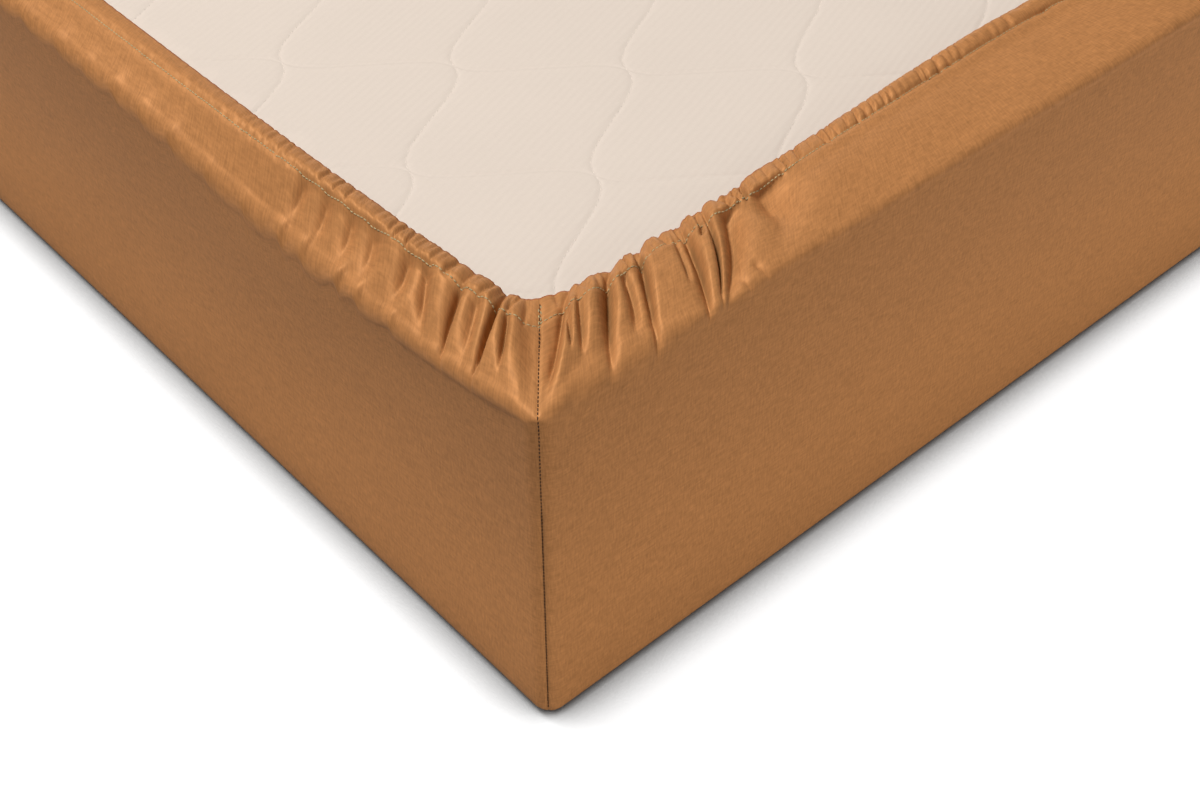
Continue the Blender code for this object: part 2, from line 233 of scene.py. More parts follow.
# The sheet's mesh: the step between its columns beside a corner, up to DENSE_TO, at SEEN_TO, where
# the camera's view of the walls ends, and from FAR_FROM on
Density = namedtuple("Density", "near seen far")
NEAR_LONG = Density(0.0012, 0.0034, 0.0140)
NEAR_END = Density(0.0012, 0.0024, 0.0024)
ELSEWHERE = Density(0.0042, 0.0090, 0.0150)
DENSE_TO = 0.180
SEEN_TO = 0.430
FAR_FROM = 0.560
COLUMN_SAMPLES = 8000
RIM_ROWS = 4
RETURN_UNDER_ROWS = (3, 6)  # rows of the hem whose undersides the return follows
RETURN_CLEARANCE = 0.0008
HEM_ROW = RIM_ROWS + len(RETURN_UNDER_ROWS)  # row of the mesh that is the hem's edge
HEM_ROWS_MM = (0, 0.8, 1.8, 3.0, 4.4, 6.0, 7.6, 9.2, 10.8, 12.2, 13.1, 13.8, 14.5, 15.4)
STITCH_ROW = HEM_ROW + HEM_ROWS_MM.index(13.8)
INNER_ROW = 3  # row of the hem that shows which way is in from its edge
BAND_ROWS = 36
UPPER_WALL_ROWS = 6
UPPER_WALL_SPREAD = 1.3  # above 1 the rows are closer at the shoulder
UPPER_WALL_FOOT = 0.184  # level where the dense columns end
LOWER_WALL_TOP = 0.172  # and where the sparse ones begin
WALL_STEP = 0.012
CORNER_STEPS = 12
CORNER_SPREAD = 1.4  # above 1 the columns are closer at the seam
FLOOR_STEPS = 4


def blend(start, end, share):
    return start + (end - start) * share


def ease(share):
    """0 to 1 with level ends."""
    share = np.clip(share, 0.0, 1.0)
    return share * share * (3.0 - 2.0 * share)


def past(distance, start, reach):
    """0 up to a start, and 1 once the distance is past it by reach."""
    return ease((distance - start) / reach)


def hump(distance, width):
    return np.exp(-((distance / width) ** 2))


def direction(turn):
    return np.array((math.cos(turn), math.sin(turn)))


def add_object(data):
    """Puts a mesh, lamp or camera into the scene, under its own name."""
    added = bpy.data.objects.new(data.name, data)
    bpy.context.scene.collection.objects.link(added)
    return added


def add_mesh(bm, mesh):
    """Writes the built faces to a mesh, smooth, and puts it into the scene."""
    bmesh.ops.recalc_face_normals(bm, faces=bm.faces)
    bm.to_mesh(mesh)
    bm.free()
    mesh.shade_smooth()
    return add_object(mesh)


WAVE_COUNT = 14


class Waves:
    """A smooth uneven surface between about -1 and 1, made of sine waves in many directions."""

    def __init__(self, seed, shortest, longest):
        random = np.random.RandomState(seed)
        lengths = np.exp(random.uniform(math.log(shortest), math.log(longest), WAVE_COUNT))
        angles = random.uniform(0, math.pi, WAVE_COUNT)
        self.across = 2 * math.pi / lengths * np.cos(angles)
        self.along = 2 * math.pi / lengths * np.sin(angles)
        self.phases = random.uniform(0, 2 * math.pi, WAVE_COUNT)
        self.shares = lengths / lengths.sum()

    def at(self, x, y):
        total = 0.0
        for across, along, phase, share in zip(self.across, self.along, self.phases, self.shares):
            total = total + share * np.sin(across * x + along * y + phase)
        return 2.0 * total


class HalfWall:
    """Half of one wall's band, from a corner to the wall's middle.

    Its columns are named by their foot: the distance from the corner along the shoulder. run is
    the distance from the hem's edge along a column."""

    def __init__(self, number, is_long):
        self.corner = CORNERS[number]
        self.is_long = is_long
        self.half = (LENGTH if is_long else WIDTH) / 2
        self.seam_along = SEAM_END_IN_Y if is_long else SEAM_END_IN_X
        self.seam_inset = SEAM_END_IN_X if is_long else SEAM_END_IN_Y
        self.random = np.random.RandomState(10 * number + is_long)
        self.density = ELSEWHERE
        if number == 0:
            self.density = NEAR_LONG if is_long else NEAR_END
        self.foot, self.hem = self.columns()
        self.width = self.band_width()
        self.radius = np.minimum(self.shoulder_radius(), self.width - HEM_WIDTH)
        self.flat = self.width - self.radius
        self.arc = QUARTER * self.radius
        self.upper_wall = SEAT - self.radius - UPPER_WALL_FOOT
        self.creases = self.placed_creases()
        self.puckers = self.hem_puckers()

    def columns(self):
        """Foot and hem end of each column, a step apart at whichever end is wider."""
        feet = [0.0]
        hems = [self.seam_along]
        for at_hem, at_foot in GATHERS[self.is_long]:
            feet.append(at_foot * self.corner.stretch)
            hems.append(blend(self.seam_along, at_hem, self.corner.stretch))
        feet.append(self.half)
        hems.append(self.half)
        foot = np.linspace(0, self.half, COLUMN_SAMPLES)
        hem = np.interp(foot, feet, hems)
        middle = (foot[1:] + foot[:-1]) / 2
        near, seen, far = self.density
        step = blend(near, seen, past(middle, DENSE_TO, SEEN_TO - DENSE_TO))
        step = blend(step, far, past(middle, SEEN_TO, FAR_FROM - SEEN_TO))
        wider = np.maximum(np.diff(foot), np.diff(hem)) / step
        reached = np.concatenate(([0.0], np.cumsum(wider)))
        marks = np.linspace(0, reached[-1], math.ceil(reached[-1]) + 1)
        return np.interp(marks, reached, foot), np.interp(marks, reached, hem)

    def band_width(self):
        if self.is_long:
            start, reach = LONG_BAND_OVER
            near = np.exp(-np.clip(self.foot - start, 0, None) / reach)
            far = blend(LONG_BAND, LONG_BAND_NEAR, near)
        else:
            share = self.foot / self.half
            growth = END_BAND_SLOPE * share - (END_BAND_SLOPE - 1) * share**END_BAND_LEVELLING
            far = blend(*END_BAND, growth)
        return far + (self.seam_inset - far) * np.exp(-self.foot / SEAM_BAND_REACH)

    def shoulder_radius(self):
        change = past(self.foot, *SHOULDER_OVER[self.is_long])
        radius = blend(*SHOULDER[self.is_long], change)
        return blend(CORNER_SHOULDER, radius, ease(self.foot / CORNER_SHOULDER_REACH))

    def sag(self, from_seam):
        """How much lower the shoulder lies than the top of the wall."""
        at_corner = CORNER_SAG * hump(np.clip(from_seam, 0, None), CORNER_SAG_REACH)
        if not self.is_long:
            return at_corner
        growth = 1 - np.exp(-np.clip(from_seam, 0, None) / SAG_NEAR)
        fall = SAG_FALL_SHARE * past(from_seam, *SAG_FALL_OVER)
        return np.maximum(LONG_SAG * growth * (1 - fall), at_corner)

    def steps(self, along):
        """How far the shoulder of a long wall steps up."""
        rise = np.zeros_like(along)
        if self.is_long:
            for place, height in SHOULDER_STEPS:
                away = along - place * MM * self.corner.stretch
                shape = ease(away / SHOULDER_STEP + 1) * (1 - ease(away / STEP_RETURN))
                rise = np.maximum(rise, height * MM * shape)
        return rise

    def placed_creases(self):
        """The table's creases, spread and varied for this corner, in metres."""
        placed = []
        for crease in LONG_CREASES if self.is_long else END_CREASES:
            stray = self.random.uniform(-1, 1, 4) * self.corner.unlike
            points = []
            for along, inset in (crease.start, crease.bend, crease.tip):
                seam = self.seam_along * inset * MM / self.seam_inset
                away = (along + CREASE_STRAY_MM * stray[0]) * MM
                points.append((blend(seam, away, self.corner.stretch), inset * MM))
            depth = crease.depth * self.corner.depth * (1 - DEPTH_STRAY * abs(stray[1]))
            widths = [
                width * (1 + WIDTH_STRAY * share) * MM
                for width, share in zip((crease.near, crease.far), stray[2:])
            ]
            placed.append((points, depth, widths, crease.hem, crease.crisp))
        return placed

    def hem_puckers(self):
        """Place, depth, width, slant and reach of each pucker."""
        puckers = []
        for kind in HEM_PUCKERS[self.is_long]:
            place = self.seam_along + self.random.uniform(0.2, 0.8) * kind.gap
            while place < self.half:
                near = hump(place - self.seam_along, kind.spread)
                for number in range(kind.count):
                    at = place + number * kind.step * self.random.uniform(0.7, 1.3)
                    depth = kind.depth * self.random.uniform(0.4, 1.0)
                    depth *= blend(PUCKER_LEFT, 1.0, near)
                    width = kind.width * self.random.uniform(0.7, 1.3)
                    slant = self.random.uniform(*PUCKER_SLANTS)
                    reach = kind.reach * self.random.uniform(0.85, 1.10)
                    puckers.append((at, depth, width, slant, reach))
                place += kind.gap * self.random.uniform(0.6, 1.4)
        return np.array(puckers)

    def runs(self):
        """Distance from the hem's edge of each row, for each column."""
        hem = np.array(HEM_ROWS_MM) * MM
        on_hem = np.tile(hem, (len(self.foot), 1))
        rest = self.flat + self.arc - hem[-1]
        shares = np.arange(1, BAND_ROWS + 1) / BAND_ROWS
        on_band = hem[-1] + rest[:, None] * shares[None, :]
        shares = (np.arange(1, UPPER_WALL_ROWS + 1) / UPPER_WALL_ROWS) ** UPPER_WALL_SPREAD
        on_wall = (self.flat + self.arc)[:, None] + self.upper_wall[:, None] * shares[None, :]
        return np.concatenate((on_hem, on_band, on_wall), axis=1)

    def folded(self, along, inset, run):
        """How far creases press the cloth down, 0 to 1, and how far they draw it sideways."""
        ridge = np.ones_like(along)
        drawn = np.zeros_like(along)
        for (start, bend, tip), depth, (near, far), hem, crisp in self.creases:
            at = np.clip(inset, tip[1], start[1])
            line = quadratic(at, start, bend, tip)
            share = (start[1] - inset) / (start[1] - tip[1])
            slope = (start[0] - tip[0]) / (start[1] - tip[1])
            away = (along - line) / math.hypot(1.0, slope)
            strength = depth * blend(hem, 1.0, past(run, *CREASE_DEPTH_OVER))
            strength *= past(share, -CREASE_HEAD, CREASE_HEAD)
            fading = blend(*CREASE_FADE[self.is_long], crisp)
            strength *= 1 - past(share, fading, CREASE_END - fading)
            widening = blend(*CREASE_TAPER, crisp) * np.clip(share, 0, 1)
            width = np.where(away < 0, near, far) * (1 + widening)
            across = away / width
            rounded = blend(*CREASE_ROUNDING, crisp)
            keen = np.sqrt(across**2 + rounded**2) - rounded
            ridge *= 1 - strength * np.exp(-(keen**CREASE_FLANK))
            drawn -= CREASE_DRAW * strength * away * hump(across, 1)
        return 1 - ridge, drawn

    def puckered(self, along, run):
        """How far the puckers press in, in metres."""
        pressed = np.zeros_like(along)
        for place, depth, width, slant, reach in self.puckers:
            away = along - place - slant * (run - HEM_WIDTH / 2)
            fade = 1 - past(run, (1 - PUCKER_FADE) * reach, PUCKER_FADE * reach)
            pressed = np.maximum(pressed, depth * fade * hump(away, width))
        return pressed

    def surface(self):
        """The outer face from the hem's edge to the upper wall, as columns, rows and xyz, and
        how far inwards of the wall each point lies on the unrolled cloth."""
        run = self.runs()
        by_column = (self.foot, self.hem, self.width, self.radius, self.flat, self.upper_wall)
        foot, hem, width, radius, flat, upper_wall = (values[:, None] for values in by_column)
        turn = np.clip((run - flat) / radius, 0, QUARTER)
        down = np.maximum(run - flat - QUARTER * radius, 0)
        inset = radius * (1 - np.sin(turn)) + np.maximum(flat - run, 0)
        drop = radius * (1 - np.cos(turn)) + down
        along = foot + (hem - foot) * inset / width
        unrolled = width - run
        seam = self.seam_along * np.clip(unrolled, 0, None) / self.seam_inset
        from_seam = along - seam

        near = hump(foot, LOFT_SPREAD)
        share = run / flat
        hem_loft = blend(FAR_LOFT, HEM_LOFT, near)
        swell = (BAND_LOFT[self.is_long] - HEM_LOFT) * near * np.sin(math.pi * np.clip(share, 0, 1))
        loft = blend(hem_loft, blend(SHOULDER_LOFT, SHOULDER_RIDGES, near), ease(share)) + swell
        loft = blend(SEAM_LOFT, loft, past(from_seam, *SEAM_LOFT_OVER[self.is_long]))

        pressed, drawn = self.folded(along, unrolled, run)
        seam_share = past(from_seam, *FOLDS_OVER)
        pressed *= seam_share
        along = along + drawn * seam_share
        on_hem = run / HEM_WIDTH
        on_edge = ease(run / EDGE_REACH)
        fuller = 0.0 if self.is_long else past(foot, *FULLER_OVER)
        bulge = np.sin(math.pi * np.clip(on_hem, 0, 1) ** PUFF_SKEW)
        bulge = blend(*HEM_PUFF, fuller) * bulge
        pucker = self.puckered(along, run) * blend(PUCKER_DIP, 1.0, on_edge)
        groove = blend(*STITCH_GROOVE, fuller) * hump(run - STITCH_RUN, STITCH_GROOVE_WIDTH)
        hem_lift = (HEM_CLOTH - CLOTH) * (1 - past(run, HEM_WIDTH, HEM_SLOPE))
        settle = (1 - (turn / QUARTER) ** 2) ** 2
        lift = (hem_lift + loft * (1 - pressed)) * settle + bulge - groove - pucker
        lift += BAND_WOBBLE * BAND_UNEVEN.at(along, unrolled) * ease(on_hem) * settle
        lift -= SEAM_GROOVE * hump(from_seam, SEAM_GROOVE_WIDTH) * on_edge
        lift = np.maximum(lift, -DEEPEST * np.sin(turn))

        on_wall = np.clip(down / SWAY_TOP, 0, 1)
        lift += on_wall * wall_sway(self.is_long, foot, SEAT - drop)
        slope = np.clip((1 - inset / width - SAG_START) / (1 - SAG_START), 0, 1)
        level = self.sag(from_seam) - self.steps(along) * slope**STEP_BEND
        sag = level * slope**SAG_BEND * (1 - np.clip(down / upper_wall, 0, 1))
        inset = inset - lift * np.sin(turn)
        along = along - lift * np.sin(turn) * hump(foot, SEAM_SPREAD)
        height = SEAT - drop - sag + lift * np.cos(turn)
        notch = PUCKER_NOTCH[self.is_long] * pucker * (1 - ease(run / PUCKER_NOTCH_REACH))
        draw = EDGE_DRAW[self.is_long] * pressed[:, :1] * (1 - ease(run / EDGE_DRAW_REACH))
        return self.placed(along, inset - (notch + draw), height), unrolled

    def placed(self, along, inset, height):
        """World positions, with the upright edge rounded."""
        in_y, in_x = (along, inset) if self.is_long else (inset, along)
        to_x = CORNER_RADIUS - in_x
        to_y = CORNER_RADIUS - in_y
        reach = np.hypot(to_x, to_y)
        outside = (to_x > 0) & (to_y > 0) & (reach > CORNER_RADIUS)
        pull = np.where(outside, CORNER_RADIUS / np.maximum(reach, 1e-9), 1.0)
        in_x = np.where(outside, CORNER_RADIUS - to_x * pull, in_x)
        in_y = np.where(outside, CORNER_RADIUS - to_y * pull, in_y)
        x = self.corner.x_side * (WIDTH / 2 - in_x)
        y = self.corner.y_side * (LENGTH / 2 - in_y)
        return np.stack((x, y, height + 0 * x), axis=-1)


def quadratic(at, start, bend, tip):
    """Along the wall at this inset, on the curve through three points of (along, inset)."""
    by_start = (at - bend[1]) * (at - tip[1]) / ((start[1] - bend[1]) * (start[1] - tip[1]))
    by_bend = (at - start[1]) * (at - tip[1]) / ((bend[1] - start[1]) * (bend[1] - tip[1]))
    by_tip = (at - start[1]) * (at - bend[1]) / ((tip[1] - start[1]) * (tip[1] - bend[1]))
    return start[0] * by_start + bend[0] * by_bend + tip[0] * by_tip


BAND_UNEVEN = Waves(3, 0.020, 0.090)
WALL_UNEVEN = {True: Waves(5, 0.080, 0.400), False: Waves(6, 0.080, 0.400)}


def wall_sway(is_long, from_corner, height):
    """How far a wall stands out, fading at the corners and at the floor."""
    free = past(from_corner, *SWAY_CORNER_OVER) * past(height, *SWAY_FLOOR_OVER)
    return WALL_SWAY * free * WALL_UNEVEN[is_long].at(from_corner, height)


def band_rings():
    """The band and shoulder as columns round the sheet, and each point's place on the cloth."""
    points = []
    places = []
    corner_columns = []
    corner_at = LENGTH / 2
    for number in range(len(CORNERS)):
        long_first = number % 2 == 0
        before = HalfWall(number, long_first)
        after = HalfWall(number, not long_first)
        halves = ((before, -1, slice(None, None, -1)), (after, 1, slice(1, -1)))
        for half, way, kept in halves:
            surface, up = half.surface()
            around = np.broadcast_to((corner_at + way * half.foot)[:, None], up.shape)
            points.append(surface[kept])
            places.append(np.stack((around, up), axis=-1)[kept])
        corner_columns.append(sum(len(part) for part in points[:-1]) - 1)
        corner_at += WIDTH if long_first else LENGTH
    return np.concatenate(points), np.concatenate(places), corner_columns


def with_return(points, places):
    """Adds the folded edge and the hem's return under the channel, ahead of the first row."""
    edge = points[:, 0]
    inwards = edge - points[:, INNER_ROW]
    inwards[:, 2] = 0
    inwards /= np.linalg.norm(inwards, axis=1)[:, None]
    down = np.array((0.0, 0.0, -1.0))
    rim = []
    for row in range(1, RIM_ROWS + 1):
        turn = math.pi * row / RIM_ROWS
        rim.append(edge + RIM_RADIUS * (inwards * math.sin(turn) + down * (1 - math.cos(turn))))
    low = SEAT - CLOTH + CLEARANCE
    for row in rim:
        row[:, 2] = np.maximum(row[:, 2], low)
    for above in RETURN_UNDER_ROWS:
        under = points[:, above].copy()
        top = under[:, 2].copy()
        under[:, 2] = np.minimum(np.maximum(top - 2 * RIM_RADIUS, low), top - RETURN_CLEARANCE)
        rim.append(under)
    added = np.stack(rim[::-1], axis=1)
    ups = np.linspace(RETURN_WIDTH, 0.0, len(rim) + 1)[:-1, None]
    above = places[:, :1] + np.array([0.0, 1.0]) * ups
    return np.concatenate((added, points), axis=1), np.concatenate((above, places), axis=1)


def wall_rings():
    """The lower walls and the edge of the main panel, as columns round the sheet."""
    steps = round((LOWER_WALL_TOP - FLOOR_RADIUS) / WALL_STEP)
    turns = QUARTER * np.arange(1, FLOOR_STEPS + 1) / FLOOR_STEPS
    levels = np.linspace(LOWER_WALL_TOP, FLOOR_RADIUS, steps + 1)
    levels = np.concatenate((levels, FLOOR_RADIUS * (1 - np.sin(turns))))
    insets = np.concatenate((np.zeros(steps + 1), FLOOR_RADIUS * (1 - np.cos(turns))))
    points = []
    places = []

    def add_column(centre, out, reach, around):
        """A column this far out from its centre, and this far round the sheet."""
        points.append(np.column_stack((centre + reach[:, None] * out, levels)))
        arounds = np.full_like(levels, around % PERIMETER)
        places.append(np.column_stack((arounds, levels - HEIGHT)))

    corner_at = LENGTH / 2
    centres = np.array((WIDTH, LENGTH)) / 2 - CORNER_RADIUS
    for number, corner in enumerate(CORNERS):
        is_long = number % 2 == 1
        centre = np.array((corner.x_side, corner.y_side)) * centres
        first_turn = math.pi + number * QUARTER
        shares = np.linspace(-1, 1, CORNER_STEPS + 1)
        for share in np.sign(shares) * np.abs(shares) ** CORNER_SPREAD:
            turn = math.copysign(QUARTER / 2 - math.atan(1 - abs(share)), share)
            out = direction(first_turn + QUARTER / 2 + turn)
            groove = SEAM_GROOVE * hump(share * CORNER_RADIUS, SEAM_GROOVE_WIDTH)
            reach = CORNER_RADIUS - insets - groove
            add_column(centre, out, reach, corner_at + share * CORNER_RADIUS)
        length = LENGTH if is_long else WIDTH
        run = length - 2 * CORNER_RADIUS
        heading = direction(first_turn + 2 * QUARTER)
        out = direction(first_turn + QUARTER)
        count = round(run / WALL_STEP)
        for step in range(1, count):
            gone = run * step / count
            sway = wall_sway(is_long, min(gone, run - gone) + CORNER_RADIUS, levels)
            reach = CORNER_RADIUS - insets + sway
            add_column(centre + heading * gone, out, reach, corner_at + CORNER_RADIUS + gone)
        corner_at += length
    return np.array(points), np.array(places)


def ring_mesh(bm, points, places, rim_rows=-1):
    """Adds columns that close on themselves to a mesh, and keeps each point's cloth place."""
    around = bm.verts.layers.float["around"]
    up = bm.verts.layers.float["up"]
    rim = bm.verts.layers.float["rim"]
    grid = []
    for column, spots in zip(points, places):
        line = []
        for row, (point, spot) in enumerate(zip(column, spots)):
            vert = bm.verts.new(point)
            vert[around] = spot[0]
            vert[up] = spot[1]
            vert[rim] = float(row <= rim_rows)
            line.append(vert)
        grid.append(line)
    for column, following in zip(grid, grid[1:] + grid[:1]):
        for row in range(len(column) - 1):
            bm.faces.new((column[row], column[row + 1], following[row + 1], following[row]))
    return [line[0] for line in grid], [line[-1] for line in grid]


def join_rows(bm, upper, lower):
    """Fills between two closed rows of verts, going round both by their place on the cloth."""
    around = bm.verts.layers.float["around"]
    rows = []
    for verts in (upper, lower):
        ordered = sorted(verts, key=lambda vert: vert[around] % PERIMETER)
        turned = [vert[around] % PERIMETER for vert in ordered]
        rows.append((ordered + ordered[:1], turned + [turned[0] + PERIMETER, 2 * PERIMETER]))
    (highs, high_at), (lows, low_at) = rows
    high = low = 0
    while high < len(upper) or low < len(lower):
        if high_at[high + 1] < low_at[low + 1]:
            bm.faces.new((highs[high], lows[low], highs[high + 1]))
            high += 1
        else:
            bm.faces.new((highs[high], lows[low], lows[low + 1]))
            low += 1


def lay_out_cloth(bm):
    """Writes each corner's place on the cloth to the UV map that the weave follows."""
    around = bm.verts.layers.float["around"]
    up = bm.verts.layers.float["up"]
    uv = bm.loops.layers.uv.new("cloth")
    for face in bm.faces:
        spots = [loop.vert[around] for loop in face.loops]
        crosses = max(spots) - min(spots) > PERIMETER / 2
        flat_panel = len(spots) > 4
        for loop, spot in zip(face.loops, spots):
            if flat_panel:
                loop[uv].uv = loop.vert.co.xy
            else:
                loop[uv].uv = (spot + PERIMETER * (crosses and spot < PERIMETER / 2), loop.vert[up])


def make_sheet():
    bm = bmesh.new()
    for layer in ("around", "up", "rim"):
        bm.verts.layers.float.new(layer)
    band, band_places, corner_columns = band_rings()
    band, band_places = with_return(band, band_places)
    _, band_foot = ring_mesh(bm, band, band_places, HEM_ROW)
    walls, wall_places = wall_rings()
    wall_top, panel_edge = ring_mesh(bm, walls, wall_places)
    join_rows(bm, band_foot, wall_top)
    bm.faces.new(panel_edge)
    lay_out_cloth(bm)
    sheet = add_mesh(bm, bpy.data.meshes.new("sateen_sheet"))
    return sheet, band, corner_columns


def thread_frames(points, normals):
    """Unit vectors along a row of points, across it, and off the surface."""
    along = np.gradient(points, axis=0)
    along /= np.linalg.norm(along, axis=1)[:, None]
    off = normals - (normals * along).sum(axis=1)[:, None] * along
    off /= np.linalg.norm(off, axis=1)[:, None]
    return along, np.cross(off, along), off


def resampled(path, pitch):
    """Points a stitch's pitch apart on a path of (xyz, normal) rows."""
    steps = np.linalg.norm(np.diff(path[:, :3], axis=0), axis=1)
    reached = np.concatenate(([0.0], np.cumsum(steps)))
    count = max(int(reached[-1] / pitch), 2)
    marks = np.linspace(0, reached[-1], count + 1)
    spaced = [np.interp(marks, reached, path[:, column]) for column in range(path.shape[1])]
    return np.stack(spaced, axis=1)


# A stitch: from one to the next, its length, its thread's thickness, and how deep its ends sink in
Stitch = namedtuple("Stitch", "pitch length thickness sunk")
HEM_STITCH = Stitch(0.0030, 0.0029, 0.00080, 0.0003)
SEAM_STITCH = Stitch(0.0026, 0.0023, 0.00075, 0.0002)
QUILTING_STITCH = Stitch(0.0052, 0.0032, 0.0004, 0.0003)
STITCH_LENGTHS = (0.85, 1.1)  # shares of the length, at random
STITCH_TURN = 0.12  # radians from the seam's line, at most
STITCH_SIDES = 6
# Its rings of points: place along it and girth, both as shares
STITCH_RINGS = ((-0.34, 0.8), (0.0, 1.0), (0.34, 0.8))
TACK_SWING = 0.0014
TACK_START = 3  # rows of the hem before the tack
SEAM_STITCHES_START = 2  # and before the seam's stitches
SEAM_STITCHES_SUNK = 0.0004  # into the wall's edge, in the seam's groove


def stitch_mesh(name, paths, stitch):
    """Joined stitches: one small bead of thread for each pitch of each path."""
    verts = []
    faces = []
    random = np.random.RandomState(len(name))
    for path in paths:
        spaced = resampled(path, stitch.pitch)
        along, across, off = thread_frames(spaced[:, :3], spaced[:, 3:])
        for place, forward, side, up in zip(spaced[1:, :3], along[1:], across[1:], off[1:]):
            reach = stitch.length * random.uniform(*STITCH_LENGTHS)
            turn = random.uniform(-STITCH_TURN, STITCH_TURN)
            heading = forward * math.cos(turn) + side * math.sin(turn)
            beside = side * math.cos(turn) - forward * math.sin(turn)
            first = len(verts)
            verts.append(place - heading * reach / 2 - up * stitch.sunk)
            for at, girth in STITCH_RINGS:
                middle = place + heading * reach * at
                for number in range(STITCH_SIDES):
                    angle = 2 * math.pi * number / STITCH_SIDES
                    spread = beside * math.cos(angle) + up * math.sin(angle)
                    verts.append(middle + spread * stitch.thickness / 2 * girth)
            verts.append(place + heading * reach / 2 - up * stitch.sunk)
            faces += bead_faces(first)
    mesh = bpy.data.meshes.new(name)
    mesh.from_pydata(verts, [], faces)
    mesh.shade_smooth()
    bead = [1.0] + [0.0] * STITCH_SIDES * len(STITCH_RINGS) + [1.0]
    ends = mesh.attributes.new("stitch_end", "FLOAT", "POINT")
    ends.data.foreach_set("value", bead * (len(verts) // len(bead)))
    return add_object(mesh)


def bead_faces(first):
    """A tip, rings of STITCH_SIDES points, and a tip."""
    last = first + 1 + len(STITCH_RINGS) * STITCH_SIDES
    faces = []
    for side in range(STITCH_SIDES):
        following = (side + 1) % STITCH_SIDES
        faces.append((first, first + 1 + following, first + 1 + side))
        for ring in range(len(STITCH_RINGS) - 1):
            low = first + 1 + ring * STITCH_SIDES
            high = low + STITCH_SIDES
            faces.append((low + side, low + following, high + following, high + side))
        high = last - STITCH_SIDES
        faces.append((last, high + side, high + following))
    return faces


def surface_normals(grid):
    """Outward normals of a grid, columns by rows, whose columns close on themselves."""
    across = np.roll(grid, -1, axis=0) - np.roll(grid, 1, axis=0)
    along = np.gradient(grid, axis=1)
    normals = np.cross(along, across)
    normals /= np.linalg.norm(normals, axis=2)[:, :, None]
    return normals


def seam_tack(band, normals, column):
    """A zigzag across the seam, where it ends in the hem's channel."""
    rows = np.arange(HEM_ROW + TACK_START, STITCH_ROW)
    side = band[column + 1, rows] - band[column - 1, rows]
    side /= np.linalg.norm(side, axis=1)[:, None]
    swing = TACK_SWING * np.where(np.arange(len(rows)) % 2, 1.0, -1.0)
    places = band[column, rows] + side * swing[:, None]
    return np.concatenate((places, normals[column, rows]), axis=1)


def make_stitches(band, corner_columns):
    """The hem's stitch line, and the seam up each corner."""
    normals = surface_normals(band)
    hem_path = np.concatenate((band[:, STITCH_ROW], normals[:, STITCH_ROW]), axis=1)
    hem_paths = [np.concatenate((hem_path, hem_path[:1]))]
    hem_paths += [seam_tack(band, normals, column) for column in corner_columns]
    hem_stitches = stitch_mesh("hem_stitches", hem_paths, HEM_STITCH)
    seam_paths = []
    first_row = HEM_ROW + SEAM_STITCHES_START
    edge = CORNER_RADIUS * (1 - math.sqrt(0.5))
    for column, corner in zip(corner_columns, CORNERS):
        out = np.array((corner.x_side, corner.y_side, 0.0)) / math.sqrt(2)
        over = np.concatenate((band[column, first_row:], normals[column, first_row:]), axis=1)
        x = corner.x_side * (WIDTH / 2 - edge)
        y = corner.y_side * (LENGTH / 2 - edge)
        ends = [
            (*(np.array((x, y, level)) - SEAM_STITCHES_SUNK * out), *out)
            for level in (LOWER_WALL_TOP, FLOOR_RADIUS)
        ]
        seam_paths.append(np.concatenate((over, ends)))
    seam_stitches = stitch_mesh("corner_seam_stitches", seam_paths, SEAM_STITCH)
    return hem_stitches, seam_stitches


# The mattress's ticking. Two families of quilting lines cross in a lattice: the plain lines run
# along PLAIN_STEP and the dotted ones, with thread in them, along DOTTED_STEP. Both sway from side
# to side once a cell, by a wave and by one of half its length.
LATTICE_START = np.array((-0.372, -0.796))
DOTTED_STEP = np.array((0.085, 0.067))
PLAIN_STEP = np.array((0.076, -0.073))
PLAIN_SWAY = (0.0061, 0.0011)
DOTTED_SWAY = (0.0089, 0.0005)
# Points of a cell's mesh, as shares of its first half
CELL_MARKS = (0, 0.008, 0.017, 0.030, 0.05, 0.09, 0.16, 0.27, 0.39)
# The soft top edge: millimetres out from where it begins, and down from the top
MATTRESS_EDGE_MM = ((6, 2.7), (13, 7), (21, 12.7), (28, 19.5), (34, 28), (38, 39), (40, 54))
MATTRESS_EDGE = MATTRESS_EDGE_MM[-1][0] * MM
MATTRESS_BASE_EDGE = 0.012
MATTRESS_BASE_STEPS = 3
MATTRESS_CORNER = 0.012
MATTRESS_CORNER_START = 0.002
MATTRESS_CORNER_CUTS = 5
MATTRESS_TRIM = 0.03  # how far past the sheet's outline the quilting is built, before it is cut
QUILTING_DEPTH = 0.0003
QUILTING_WIDTH = 0.0016
PILLOW_DEPTH = 0.0003
PILLOW_WIDTH = 0.012
THREAD_UNDER_HEM = 0.010  # how far the quilting's thread goes on under the band
THREAD_SAMPLES = 40  # for each cell
SHORTEST_THREAD = 5  # samples that a thread has at least


def sway(share, sizes):
    """How far a quilting line sways sideways, and how fast, at this share of a cell."""
    turn = 2 * math.pi * share
    shift = sizes[0] * np.sin(turn) + sizes[1] * np.sin(2 * turn)
    rate = 2 * math.pi * (sizes[0] * np.cos(turn) + 2 * sizes[1] * np.cos(2 * turn))
    return shift, rate


